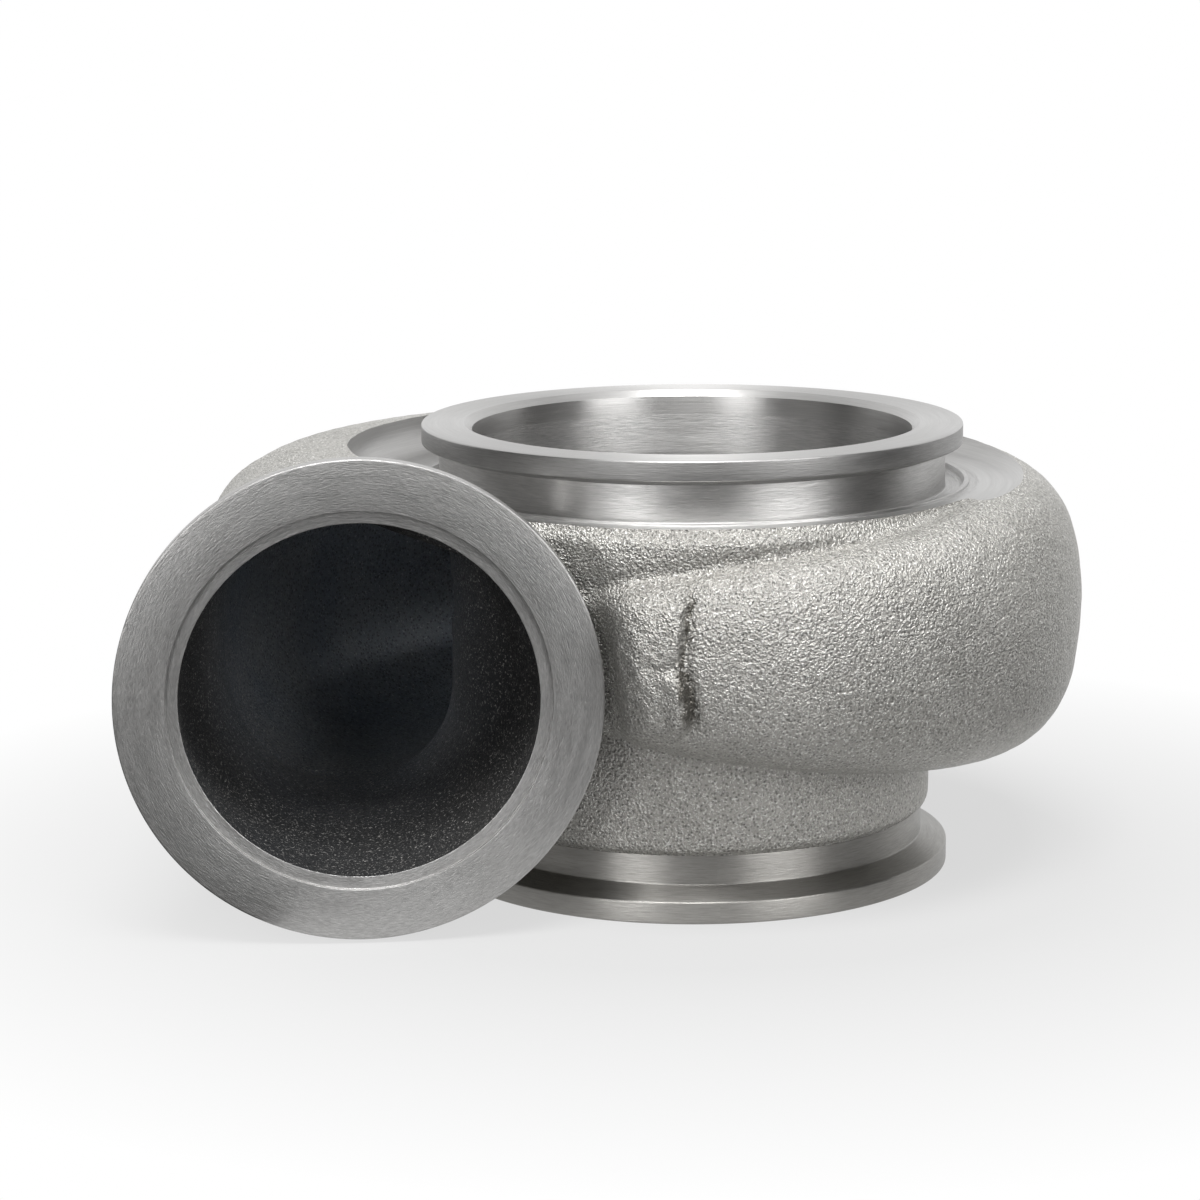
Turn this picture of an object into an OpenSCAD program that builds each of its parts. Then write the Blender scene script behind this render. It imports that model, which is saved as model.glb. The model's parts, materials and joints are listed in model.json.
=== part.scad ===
// Turbine housing with three V-band connections.
// Axis of the turbine wheel is Z, the outlet face lies on z = 0 and the
// inlet looks along -Y. Bearing side is on top. All sizes in millimetres.

/* [Outlet flange] */
// Diameter of the outlet V-band rim
outlet_rim_d = 90.3; // [88:0.1:100]
// Straight height of the outlet rim
outlet_rim_h = 3.6; // [2.5:0.1:4.5]
// Depth of the radial step from the rim down to the machined land
outlet_step = 4.55; // [3:0.05:6]
// Axial length of the machined land that clears the clamp
outlet_land_h = 5; // [4:0.1:6]
// Wall between the outlet bore and the machined land
outlet_wall = 6.1; // [4.5:0.1:8]
// Length of the straight part of the outlet bore
outlet_bore_h = 6; // [4:0.1:8]

/* [Wheel passage] */
// Diameter of the throat around the small end of the wheel
throat_d = 53; // [46:0.1:56]
// Length of the straight throat
throat_h = 5; // [3:0.1:6]
// Axial length of the shroud curve above the throat
shroud_h = 7; // [5:0.1:8]
// Width of the ring slot that feeds the wheel
nozzle_w = 9; // [6:0.1:11]
// Distance from the bearing face down to the middle of the ring slot
nozzle_drop = 30.5; // [29:0.1:32]
// Width of the ledge that the heat shield sits on
ledge_w = 3.8; // [2.5:0.1:5]

/* [Bearing flange] */
// Height of the bearing face above the outlet face
body_h = 78; // [76:0.1:84]
// Diameter of the bearing V-band rim
bearing_rim_d = 94.2; // [90:0.1:100]
// Straight height of the bearing rim
bearing_rim_h = 3.3; // [2.5:0.1:4]
// Depth of the radial step from the bearing rim down to the turned neck
bearing_step = 3; // [2:0.1:4]
// Wall between the turned neck and the bearing housing bore
bearing_wall_t = 5.8; // [5:0.1:8]
// Depth of the bearing housing bore down to its shoulder
bearing_bore_depth = 22; // [18:0.1:23]
// Depth of the clamp recess below the bearing face
recess_depth = 10.35; // [9:0.05:11]
// Radial room for the clamp between the bearing rim and the recess wall
clamp_room = 12.9; // [11:0.1:14]
// Radius of the cove between recess floor and recess wall
recess_cove = 5; // [3:0.5:6]

/* [Scroll] */
// Distance that the scroll start lies inside the recess wall
scroll_inset = 0.2; // [0:0.1:2]
// Growth of the scroll radius from start to inlet run
scroll_growth = 27; // [23:0.1:29]
// Height of the scroll roof over the bearing recess floor at the full end
scroll_crown = 8.4; // [7:0.1:10]
// Depth of the scroll belly below the bearing face at the full end
scroll_depth = 70; // [66:0.1:72]
// Wall thickness of the casting
wall_t = 4.5; // [3.5:0.1:5]
// Distance from the bearing face down to the mould parting line
parting_drop = 31; // [29:0.5:33]

/* [Inlet] */
// Diameter of the inlet V-band rim
inlet_rim_d = 79.2; // [76:0.1:80]
// Straight length of the inlet rim
inlet_rim_h = 3; // [2.5:0.1:4]
// Depth of the radial step from the inlet rim to its land
inlet_step = 5.6; // [5:0.1:6]
// Length from the inlet face to the back of the machined land
inlet_land_l = 9.7; // [9:0.1:11]
// Wall between the inlet bore and the machined land
inlet_wall = 4.85; // [4:0.05:7]
// Width of the shallow rebate around the mouth of the inlet bore
inlet_rebate_w = 2.05; // [1:0.05:2.5]
// Depth of the shallow rebate
inlet_rebate_h = 0.8; // [0.5:0.1:1.5]
// Sideways distance from the wheel axis to the inlet axis
inlet_offset = 58.9; // [57:0.1:61]
// Distance from the wheel axis to the inlet face
inlet_reach = 50.2; // [49.5:0.1:54]
// Distance that the top of the inlet run lies below the scroll crown
inlet_sink = 1.01; // [0:0.01:1.2]

/* [Hidden] */
v_slope = tan(20);
edge = 0.3;
outlet_rim_r = outlet_rim_d / 2;
outlet_land_r = outlet_rim_r - outlet_step;
outlet_land_z = outlet_rim_h + outlet_step * v_slope + edge;
outlet_top = outlet_land_z + outlet_land_h;
mouth_r = outlet_land_r - outlet_wall;
bearing_rim_r = bearing_rim_d / 2;
bearing_neck_r = bearing_rim_r - bearing_step;
bearing_r = bearing_neck_r - bearing_wall_t;
bearing_rim_z = body_h - bearing_rim_h;
bearing_taper_z = bearing_rim_z - bearing_step * v_slope;
floor_z = body_h - recess_depth;
shoulder_z = body_h - bearing_bore_depth;
neck_seat_t = 1.15;
neck_seat_z = floor_z - neck_seat_t;
bead_r = bearing_neck_r + 3.8;
floor_inner_r = bearing_neck_r + 5.9;
recess_r = bearing_rim_r + clamp_room;
core_wall = 3.65;
neck_step = 1.35;
neck_round = 1.8;
neck_r = max(bearing_r + core_wall, outlet_land_r + neck_step);
nozzle_z = body_h - nozzle_drop;
nozzle_floor = nozzle_z - nozzle_w / 2;
nozzle_roof = nozzle_z + nozzle_w / 2;
nozzle_r = bearing_r - ledge_w;
nozzle_lip = 1.5;
lip_round = 0.8;
inducer_r = nozzle_r - nozzle_lip;
gas_inner_r = nozzle_r + nozzle_lip;
throat_r = throat_d / 2;
throat_top = nozzle_floor - shroud_h;
throat_z = throat_top - throat_h;
shroud_foot = 3;
shroud_z = throat_z - shroud_foot;
cone_run = throat_z - outlet_bore_h;
pad_r = recess_r - 8;
pad_edge = 2.1;
pad_draft = 0.9;
pad_side_r = pad_r + pad_edge;
pad_foot_r = pad_side_r + pad_draft;
pad_foot_z = floor_z - 10;
pad_lap = 0.4;
pad_top_z = floor_z + 4;
inlet_rim_r = inlet_rim_d / 2;
inlet_land_r = inlet_rim_r - inlet_step;
inlet_taper_l = inlet_rim_h + inlet_step * v_slope;
inlet_bore_r = inlet_land_r - inlet_wall;
inlet_rebate_r = inlet_bore_r + inlet_rebate_w;
runner_r = inlet_land_r + 0.8;
runner_y = -inlet_reach + inlet_land_l;
inlet_clamp_room = 2.4;
relief_r = inlet_rim_r + inlet_clamp_room;
relief_wall = 4.5;
land_room = 3.5;
land_relief_r = inlet_land_r + land_room;
run_right = -inlet_offset + relief_r - 1.2;
run_end = -3;
run_lap = 1.5;
run_cover = 6;
gas_cover = 1;
scroll_start_r = recess_r - scroll_inset;
scroll_turn = 280;
scroll_zero = -100;
start_cut = 95;
back_cut = 185;
crown_z = floor_z + scroll_crown;
inlet_z = crown_z - inlet_sink - runner_r;
belly_z = body_h - scroll_depth;
parting_z = body_h - parting_drop;
crown_drop = 13;
belly_rise = 20.5;
mid_inset = 18.5;
mid_shift = 20.2;
gas_pinch = 14;
section_n = 28;
turn_step = 10;
slice_t = 0.4;
blend = 0.3;
over = 10;
reach = 200;
ring_fn = 96;
facet_phase = 1.3;
cast_color = [0.52, 0.51, 0.49];
turned_color = [0.74, 0.74, 0.73];

// Radius of the outlet cone at a height above the outlet face
function cone_r(z) = mouth_r - (mouth_r - throat_r) * (z - outlet_bore_h) / cone_run;

// Scroll laws against the turning angle p, from 0 at the tongue to 280 at the inlet run
function scroll_r(p) = scroll_start_r + scroll_growth * p / scroll_turn;
function scroll_top(p) = crown_z - crown_drop * exp(-p / 100);
function scroll_bottom(p) = belly_z + belly_rise * exp(-p / 130);
function scroll_square(p) = 3.4 - 0.6 * p / scroll_turn;
function scroll_mid_r(p) = scroll_start_r - mid_inset
    + mid_shift * pow(max(p, 0) / scroll_turn, 2);
function scroll_mid_z(p) = (scroll_top(p) + scroll_bottom(p)) / 2;
function scroll_half_z(p) = (scroll_top(p) - scroll_bottom(p)) / 2;

// Gas passage laws, a small slot at the tongue and the full wall offset at the end
function gas_open(p) = (p + 12) / (scroll_turn + 12);
function gas_r(p) = scroll_r(p) - wall_t - gas_pinch * exp(-(p + 12) / 22);
function gas_half_z(p) = nozzle_w / 2
    + (scroll_half_z(scroll_turn) - wall_t - nozzle_w / 2) * pow(gas_open(p), 0.5);
function gas_mid_z(p) = nozzle_z + (scroll_mid_z(p) - nozzle_z) * min(1, 3 * gas_open(p));

// Closed oval outline with its own squareness above and below the middle
function oval(cx, cz, a, b, n_up, n_down) = [
    for (i = [0 : section_n - 1])
        let (t = 360 * i / section_n,
             n = sin(t) >= 0 ? n_up : n_down,
             k = pow(pow(abs(cos(t)), n) + pow(abs(sin(t)), n), -1 / n))
            [cx + a * k * cos(t), cz + b * k * sin(t)]
];

// Rings of points around the wheel axis, one per turning angle p
function turned(p, outline) = [
    for (q = outline)
        [q[0] * cos(scroll_zero + p), q[0] * sin(scroll_zero + p), q[1]]
];
function scroll_ring(p) = turned(p, oval(scroll_mid_r(p), scroll_mid_z(p),
    scroll_r(p) - scroll_mid_r(p), scroll_half_z(p), scroll_square(p), 2.7));
function gas_ring(p) = turned(p, oval((gas_inner_r + gas_r(p)) / 2, gas_mid_z(p),
    (gas_r(p) - gas_inner_r) / 2, gas_half_z(p), 2.4, 2.4));

// Solid drawn through a row of rings that all have section_n points
module loft(rings) {
    last = len(rings) - 1;
    polyhedron(
        points = [for (ring = rings) for (q = ring) q],
        faces = concat(
            [[for (i = [section_n - 1 : -1 : 0]) i]],
            [for (k = [0 : last - 1]) for (i = [0 : section_n - 1])
                let (j = (i + 1) % section_n, a = k * section_n, b = a + section_n)
                    [a + i, a + j, b + j]],
            [for (k = [0 : last - 1]) for (i = [0 : section_n - 1])
                let (j = (i + 1) % section_n, a = k * section_n, b = a + section_n)
                    [a + i, b + j, b + i]],
            [[for (i = [0 : section_n - 1]) last * section_n + i]]));
}

// Upright section of the inlet run, s goes from 0 at the land to 1 over the wheel axis
function mix(a, b, s) = a + (b - a) * s;
function ease(s) = s * s * (3 - 2 * s);
module run_slice(s, y, left_0, right_0, low_0, high_0, left_1, right_1, low_1, high_1) {
    left = mix(left_0, left_1, ease(s));
    right = mix(right_0, right_1, s);
    low = mix(low_0, low_1, ease(s));
    high = mix(high_0, high_1, ease(s));
    translate([0, y, 0]) rotate([90, 0, 0]) linear_extrude(slice_t, center = true)
        polygon(oval((left + right) / 2, (low + high) / 2, (right - left) / 2,
                     (high - low) / 2, mix(2, 2.8, s), mix(2, 2.7, s)));
}

module run_outer_slice(s) {
    run_slice(s, mix(runner_y + slice_t / 2, 0, s),
              -inlet_offset - runner_r, -inlet_offset + runner_r,
              inlet_z - runner_r, inlet_z + runner_r,
              -scroll_r(scroll_turn) + blend, -neck_r + run_cover,
              scroll_bottom(scroll_turn) + blend, scroll_top(scroll_turn) - blend);
}

module run_gas_slice(s) {
    run_slice(s, mix(-inlet_reach - gas_cover, 0, s),
              -inlet_offset - inlet_bore_r, -inlet_offset + inlet_bore_r,
              inlet_z - inlet_bore_r, inlet_z + inlet_bore_r,
              -gas_r(scroll_turn) + blend, -neck_r + gas_cover,
              gas_mid_z(scroll_turn) - gas_half_z(scroll_turn) + blend,
              gas_mid_z(scroll_turn) + gas_half_z(scroll_turn) - blend);
}

module scroll_outer() {
    loft([for (p = [-30 : turn_step : scroll_turn]) scroll_ring(p)]);
}

module scroll_gas() {
    loft([for (p = [-12, -6, 0, 5, each [turn_step : turn_step : scroll_turn]]) gas_ring(p)]);
}

module run_outer() {
    for (i = [0 : 5])
        hull() { run_outer_slice(i / 6); run_outer_slice((i + 1) / 6); }
    hull() {
        run_outer_slice(1);
        translate([0, run_lap, 0]) run_outer_slice(1);
    }
}

module run_gas() {
    for (i = [0 : 5])
        hull() { run_gas_slice(i / 6); run_gas_slice((i + 1) / 6); }
    hull() {
        run_gas_slice(1);
        translate([0, run_lap, 0]) run_gas_slice(1);
    }
}

// Raised round pad under the bearing recess, drafted towards its foot
module bearing_pad() {
    rotate([0, 0, facet_phase]) rotate_extrude($fn = ring_fn)
        polygon([[0, pad_foot_z], [pad_foot_r, pad_foot_z],
                 [pad_side_r, floor_z - pad_edge], [pad_r, floor_z + pad_lap],
                 [pad_r, pad_top_z], [0, pad_top_z]]);
}

// Room for the inlet clamp, taken out of the scroll start beside the inlet flange,
// with a narrower groove behind it around the machined land
module inlet_clamp_relief() {
    translate([-inlet_offset, runner_y, inlet_z]) rotate([90, 0, 0]) {
        cylinder(r = land_relief_r, h = inlet_land_l + over, $fn = 72);
        translate([0, 0, relief_wall])
            cylinder(r = relief_r, h = inlet_land_l + over, $fn = 72);
    }
}

// Turned recess around the bearing flange, with a coved corner
module bearing_recess() {
    rotate([0, 0, facet_phase]) rotate_extrude($fn = ring_fn)
        polygon(concat(
            [[0, floor_z]],
            [for (a = [0 : 15 : 90])
                [recess_r - recess_cove + recess_cove * sin(a),
                 floor_z + recess_cove - recess_cove * cos(a)]],
            [[recess_r, body_h + over], [0, body_h + over]]));
}

// Space kept for the turned rings in the middle of the casting
module ring_core() {
    rotate([0, 0, facet_phase]) rotate_extrude($fn = ring_fn)
        polygon([[0, -over], [neck_r, -over], [neck_r, neck_seat_z],
                 [floor_inner_r, neck_seat_z], [floor_inner_r, body_h + over],
                 [0, body_h + over]]);
}

// Metal that stays between the gas passage and the bearing recess
module roof_guard() {
    rotate([0, 0, facet_phase]) translate([0, 0, floor_z - wall_t])
        cylinder(r = recess_r + wall_t, h = recess_depth + wall_t + over, $fn = ring_fn);
}

module casting() {
    difference() {
        union() {
            difference() {
                union() {
                    scroll_outer();
                    bearing_pad();
                }
                inlet_clamp_relief();
            }
            run_outer();
        }
        difference() {
            union() {
                scroll_gas();
                run_gas();
            }
            roof_guard();
        }
        bearing_recess();
        ring_core();
    }
}

// Plan of the inlet run with the divider that splits it from the small end of the scroll
module run_plan() {
    polygon([[-reach, -reach], [run_right, -reach], [run_right, run_end],
             [-reach, run_end]]);
}

// Point in plan far out along the turning angle p
function out_at(p) = [reach * cos(scroll_zero + p), reach * sin(scroll_zero + p)];

// Plan of the small end of the scroll
module start_plan() {
    polygon([[0, 0], [run_right, run_end], [run_right, -reach], [reach, -reach],
             out_at(start_cut)]);
}

// Plan of the growing part of the scroll on the side away from the inlet
module back_plan() {
    polygon([[0, 0], out_at(start_cut), [reach, reach], out_at(back_cut)]);
}

// Plan of the full end of the scroll, up to the inlet run
module end_plan() {
    polygon([[0, 0], out_at(back_cut), [-reach, reach], [-reach, run_end],
             [run_right, run_end]]);
}

// Parts of the casting below and above the mould parting line, inside a plan
module below_parting() {
    intersection() {
        casting();
        translate([0, 0, -over]) linear_extrude(parting_z + over) children();
    }
}

module above_parting() {
    intersection() {
        casting();
        translate([0, 0, parting_z]) linear_extrude(body_h + over - parting_z) children();
    }
}

// Outlet flange with V-band rim, machined land and straight outlet bore
module outlet_flange() {
    color(turned_color) rotate_extrude($fn = ring_fn)
        polygon([
            [mouth_r, 0],
            [outlet_rim_r - edge, 0],
            [outlet_rim_r, edge],
            [outlet_rim_r, outlet_rim_h],
            [outlet_rim_r - 0.55, outlet_rim_h + 0.77],
            [outlet_land_r + 0.1, outlet_land_z],
            [outlet_land_r, outlet_land_z + edge],
            [outlet_land_r, outlet_top],
            [cone_r(outlet_top), outlet_top],
            [mouth_r, outlet_bore_h]]);
}

// Cast outlet neck around the widening cone
module outlet_neck() {
    color(cast_color) rotate_extrude($fn = ring_fn)
        polygon([
            [outlet_land_r - 0.1, outlet_top],
            [neck_r - 0.4, outlet_top + neck_round * 0.3],
            [neck_r, outlet_top + neck_round],
            [neck_r, shroud_z],
            [cone_r(shroud_z), shroud_z],
            [cone_r(outlet_top), outlet_top]]);
}

// Contoured shroud around the turbine wheel, with the floor of the ring slot
module wheel_shroud() {
    color(cast_color) rotate_extrude($fn = ring_fn)
        polygon(concat(
            [[cone_r(shroud_z), shroud_z], [neck_r, shroud_z], [neck_r, nozzle_floor]],
            [for (a = [0 : 10 : 90])
                [throat_r + (inducer_r - throat_r) * (1 - sin(a)),
                 throat_top + (nozzle_floor - throat_top) * cos(a)]],
            [[throat_r, throat_z]]));
}

// Roof ring of the slot, with the ledge that the heat shield sits on
module shield_shoulder() {
    color(turned_color) rotate_extrude($fn = ring_fn)
        polygon([
            [nozzle_r + lip_round, nozzle_roof],
            [neck_r, nozzle_roof],
            [neck_r, shoulder_z],
            [nozzle_r, shoulder_z],
            [nozzle_r, nozzle_roof + lip_round]]);
}

// Ring wall around the bearing bore, from the ledge up to the recess floor
module bearing_wall() {
    color(cast_color) rotate_extrude($fn = ring_fn)
        polygon([
            [bearing_r, shoulder_z],
            [neck_r, shoulder_z],
            [neck_r, neck_seat_z],
            [bearing_r, neck_seat_z]]);
}

// Turned neck with bead and groove, and the inner part of the recess floor
module bearing_neck() {
    color(turned_color) rotate_extrude($fn = ring_fn)
        polygon([
            [bearing_r, neck_seat_z],
            [floor_inner_r, neck_seat_z],
            [floor_inner_r, floor_z],
            [bead_r + 0.1, floor_z],
            [bead_r, floor_z + 0.25],
            [bead_r - 0.4, floor_z + 0.3],
            [bead_r - 1, floor_z - 0.05],
            [bead_r - 1.8, floor_z - 0.2],
            [bead_r - 2.5, floor_z],
            [bearing_neck_r + 0.6, floor_z + 0.6],
            [bearing_neck_r, floor_z + 1.05],
            [bearing_neck_r, bearing_taper_z],
            [bearing_r, bearing_taper_z]]);
}

// Bearing housing flange with V-band rim and lead-in chamfer
module bearing_flange() {
    color(turned_color) rotate_extrude($fn = ring_fn)
        polygon([
            [bearing_r, bearing_taper_z],
            [bearing_neck_r, bearing_taper_z],
            [bearing_rim_r - edge, bearing_rim_z - 0.1],
            [bearing_rim_r, bearing_rim_z + edge],
            [bearing_rim_r, body_h - edge],
            [bearing_rim_r - edge, body_h],
            [bearing_r + 1.5, body_h],
            [bearing_r, body_h - 1]]);
}

// Small end of the scroll beside the inlet run
module scroll_start_lower() {
    color(cast_color) below_parting() start_plan();
}

module scroll_start_upper() {
    color(cast_color) above_parting() start_plan();
}

module scroll_back_lower() {
    color(cast_color) below_parting() back_plan();
}

module scroll_back_upper() {
    color(cast_color) above_parting() back_plan();
}

module scroll_end_lower() {
    color(cast_color) below_parting() end_plan();
}

module scroll_end_upper() {
    color(cast_color) above_parting() end_plan();
}

module runner_lower() {
    color(cast_color) below_parting() run_plan();
}

module runner_upper() {
    color(cast_color) above_parting() run_plan();
}

// Machined land behind the inlet rim
module inlet_neck() {
    color(turned_color) translate([-inlet_offset, -inlet_reach, inlet_z]) rotate([-90, 0, 0])
        rotate_extrude($fn = ring_fn)
            polygon([
                [inlet_bore_r, inlet_taper_l],
                [inlet_land_r, inlet_taper_l],
                [inlet_land_r, inlet_land_l],
                [inlet_bore_r, inlet_land_l]]);
}

// Inlet flange with V-band rim, bore and shallow rebate
module inlet_flange() {
    color(turned_color) translate([-inlet_offset, -inlet_reach, inlet_z]) rotate([-90, 0, 0])
        rotate_extrude($fn = ring_fn)
            polygon([
                [inlet_rebate_r, 0],
                [inlet_rim_r - edge, 0],
                [inlet_rim_r, edge],
                [inlet_rim_r, inlet_rim_h - edge],
                [inlet_rim_r - edge, inlet_rim_h + 0.1],
                [inlet_land_r, inlet_taper_l],
                [inlet_bore_r, inlet_taper_l],
                [inlet_bore_r, inlet_rebate_h],
                [inlet_rebate_r, inlet_rebate_h]]);
}

outlet_flange();
outlet_neck();
wheel_shroud();
shield_shoulder();
bearing_wall();
bearing_neck();
bearing_flange();
scroll_start_lower();
scroll_start_upper();
scroll_back_lower();
scroll_back_upper();
scroll_end_lower();
scroll_end_upper();
runner_lower();
runner_upper();
inlet_neck();
inlet_flange();
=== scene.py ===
import bpy
import json
import math
import numpy as np
from mathutils import Matrix, Vector


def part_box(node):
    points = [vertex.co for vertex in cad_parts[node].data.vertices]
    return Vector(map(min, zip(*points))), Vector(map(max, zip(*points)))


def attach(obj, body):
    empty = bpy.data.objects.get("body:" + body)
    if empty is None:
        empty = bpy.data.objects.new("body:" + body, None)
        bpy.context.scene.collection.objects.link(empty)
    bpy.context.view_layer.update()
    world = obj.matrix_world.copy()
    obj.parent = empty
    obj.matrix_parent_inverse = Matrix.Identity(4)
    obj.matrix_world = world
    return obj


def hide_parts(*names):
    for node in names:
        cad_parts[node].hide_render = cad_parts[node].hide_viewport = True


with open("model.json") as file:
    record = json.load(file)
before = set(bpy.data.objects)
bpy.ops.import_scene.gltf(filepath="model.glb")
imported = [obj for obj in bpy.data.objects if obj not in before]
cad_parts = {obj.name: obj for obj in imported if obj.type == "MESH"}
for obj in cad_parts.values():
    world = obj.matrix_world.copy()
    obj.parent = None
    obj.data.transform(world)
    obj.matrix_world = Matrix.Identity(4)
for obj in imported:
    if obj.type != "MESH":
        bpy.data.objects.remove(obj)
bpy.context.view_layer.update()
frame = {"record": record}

# Scroll with the bearing pad, sand cast in heat-proof iron. Its outside grows around the wheel
# from a small start to a full end, and the pad closes the small start under the bearing neck.
# Each form is a distance in mm from its own surface, less than zero inside it.
mounts = {m["name"]: m for m in frame["record"]["mounts"]}


def mount_r(name):
    return mounts[name]["dims"]["r_mm"]


def end_of(node, side, axis):
    """Where a CAD node ends, in mm. Side 0 is its low end and side 1 its high end."""
    return round(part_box(node)[side][axis] * 1000, 3)


body_h = end_of("bearing_flange", 1, 2)
parting_z = end_of("runner_lower", 1, 2)
bearing_rim_r = mount_r("bearing_rim")
recess_r = bearing_rim_r + 12.9
floor_z = body_h - 10.35
skin_inset = 0.3
scroll_turn = 280.0
scroll_tail = -30
tail_reach = 10
scroll_start_r = recess_r - 0.2 - skin_inset
scroll_growth = 27
crown_z = floor_z + 8.4 - skin_inset
crown_drop = 13
crown_fade = 100
belly_z = body_h - 70 + skin_inset
belly_rise = 20.5
belly_fade = 130
circle = 2
square_start = 3.4
square_loss = 0.6
square_belly = 2.7
mid_inset = 18.5
mid_shift = 20.2
pad_r = recess_r - 8
pad_edge = 2.2
pad_edge_slope = 0.95
pad_draft = 0.12
pad_side_h = 12
pad_lean = 0.85
pad_low_z = 50
pad_high_z = 72
pad_fillet = 1.2
crease_depth = 1.0
crease_w = 1.7
crease_z = 55
crease_rise = 4
parting_slope = 0.05
parting_w = 10


def grow(v, start, length):
    """Rises from 0 at start to 1 at start + length."""
    return np.clip((v - start) / length, 0, 1)


def fade(v, end, length):
    """Falls from 1 at end - length to 0 at end."""
    return np.clip((end - v) / length, 0, 1)


def blend_in(a, b, k):
    """Form a with form b added to it, and a casting fillet of size k between them."""
    h = np.clip(0.5 + 0.5 * (b - a) / k, 0, 1)
    return b + (a - b) * h - k * h * (1 - h)


def oval_distance(u, v, cu, cv, a, b, n_up, n_down):
    """Distance to an oval of half sizes a and b. With n = circle it is a plain oval, and the
    higher n is, the squarer it gets."""
    du, dv = u - cu, v - cv
    n = np.where(dv >= 0, n_up, n_down)
    rho = (np.abs(du / a) ** n + np.abs(dv / b) ** n) ** (1 / n)
    return np.hypot(du, dv) * (1 - 1 / np.maximum(rho, 1e-3))


def scroll_r(p):
    return scroll_start_r + scroll_growth * p / scroll_turn


def scroll_top(p):
    return crown_z - crown_drop * np.exp(-p / crown_fade)


def scroll_bottom(p):
    return belly_z + belly_rise * np.exp(-p / belly_fade)


def scroll_form(r, p, Y, Z):
    q = np.clip(p, scroll_tail - tail_reach, scroll_turn)
    mid_r = scroll_start_r - mid_inset + mid_shift * (np.maximum(q, 0) / scroll_turn) ** 2
    top, low = scroll_top(q), scroll_bottom(q)
    form = oval_distance(r, Z, mid_r, (top + low) / 2, scroll_r(q) - mid_r, (top - low) / 2,
                         square_start - square_loss * q / scroll_turn, square_belly)
    form = np.where(p > scroll_turn, np.maximum(form, -Y), form)
    tail = r * np.sin(np.radians(scroll_tail - p))
    return np.where(p < scroll_tail, np.maximum(form, tail), form)


def pad_form(r, Z):
    edge_z = floor_z - pad_edge
    side_r = pad_r + pad_edge_slope * np.clip(floor_z - Z, 0, pad_edge)
    side_r = side_r + pad_draft * np.clip(edge_z - Z, 0, pad_side_h)
    return np.maximum((r - side_r) * pad_lean, np.maximum(pad_low_z - Z, Z - pad_high_z))


def scroll_with_pad(r, p, Y, Z):
    scroll = scroll_form(r, p, Y, Z)
    pad = pad_form(r, Z)
    crease = crease_depth * np.exp(-((scroll - pad) / crease_w) ** 2)
    crease = crease * grow(Z, crease_z, crease_rise)
    parting = parting_slope * np.minimum(np.abs(Z - parting_z), parting_w)
    return blend_in(scroll, pad, pad_fillet) + crease + parting


# Inlet run, cast in one with the scroll. It is round behind the inlet flange and widens into the
# full end of the scroll. The inlet clamp has its room in the scroll start beside the flange.
inlet_x = round(mounts["inlet_bore"]["pos_m"][0] * 1000, 3)
inlet_z = round(mounts["inlet_bore"]["pos_m"][2] * 1000, 3)
inlet_rim_r = mount_r("inlet_rim")
inlet_land_r = inlet_rim_r - 5.6
run_y = end_of("inlet_neck", 1, 1)
run_r = inlet_land_r + 0.6
run_lap = 1
run_fillet = 5.0
run_end_fillet = 0.3
run_fillet_fade = 8
run_end_low_z = 10.68
run_end_high_z = 74.96
neck_r = end_of("outlet_neck", 1, 0)
run_cover = 6
clamp_room_r = inlet_rim_r + 2
clamp_room_y = -45.4
clamp_room_fillet = 6
land_room_r = inlet_land_r + 3.5
land_room_edge = 2
land_room_fillet = 1.5


def cut_out(a, b, k):
    """Form a without form b, with the edge between them rounded by k."""
    return -blend_in(-a, b, k)


def overlap(a, b, k):
    """What forms a and b share, with the edge between them rounded by k."""
    return -blend_in(-a, -b, k)


def mix(a, b, share):
    return a + (b - a) * share


def run_form(X, Y, Z, start_r, left, right, low, high, square_up, square_down):
    """Run from a round of start_r behind the inlet flange to an oval with these four sides."""
    s = grow(Y, run_y, -run_y)
    e = s * s * (3 - 2 * s)
    left = mix(inlet_x - start_r, left, e)
    right = mix(inlet_x + start_r, right, s)
    low = mix(inlet_z - start_r, low, e)
    high = mix(inlet_z + start_r, high, e)
    return oval_distance(X, Z, (left + right) / 2, (low + high) / 2, (right - left) / 2,
                         (high - low) / 2, circle + square_up * s, circle + square_down * s)


def with_clamp_room(form, X, Y, Z):
    off = np.hypot(X - inlet_x, Z - inlet_z)
    room = overlap(off - clamp_room_r, Y - clamp_room_y, clamp_room_fillet)
    form = cut_out(form, room, clamp_room_fillet)
    room = overlap(off - land_room_r, Y - run_y, land_room_edge)
    return cut_out(form, room, land_room_fillet)


def with_run(form, X, Y, Z):
    run = run_form(X, Y, Z, run_r, -scroll_r(scroll_turn), run_cover - neck_r,
                   run_end_low_z, run_end_high_z, square_start - square_loss - circle,
                   square_belly - circle)
    run = np.maximum(run, np.maximum(run_y - Y, Y - run_lap))
    return blend_in(form, run, mix(run_end_fillet, run_fillet, fade(Y, 0, run_fillet_fade)))


# Outlet neck, cast in one with the scroll and left as cast around the widening outlet cone. It
# draws in a little at its foot, where the machined land of the outlet flange begins.
neck_low_z = 8
neck_high_z = 62
neck_foot_z = 12.4
neck_foot_h = 1.85
neck_foot_d = 1.4
neck_foot_curve = 2.2
neck_fillet = 1.4


def outlet_neck_form(r, Z):
    foot = neck_foot_d * fade(Z, neck_foot_z, neck_foot_h) ** neck_foot_curve
    return np.maximum(r - neck_r + foot, np.maximum(neck_low_z - Z, Z - neck_high_z))


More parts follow.
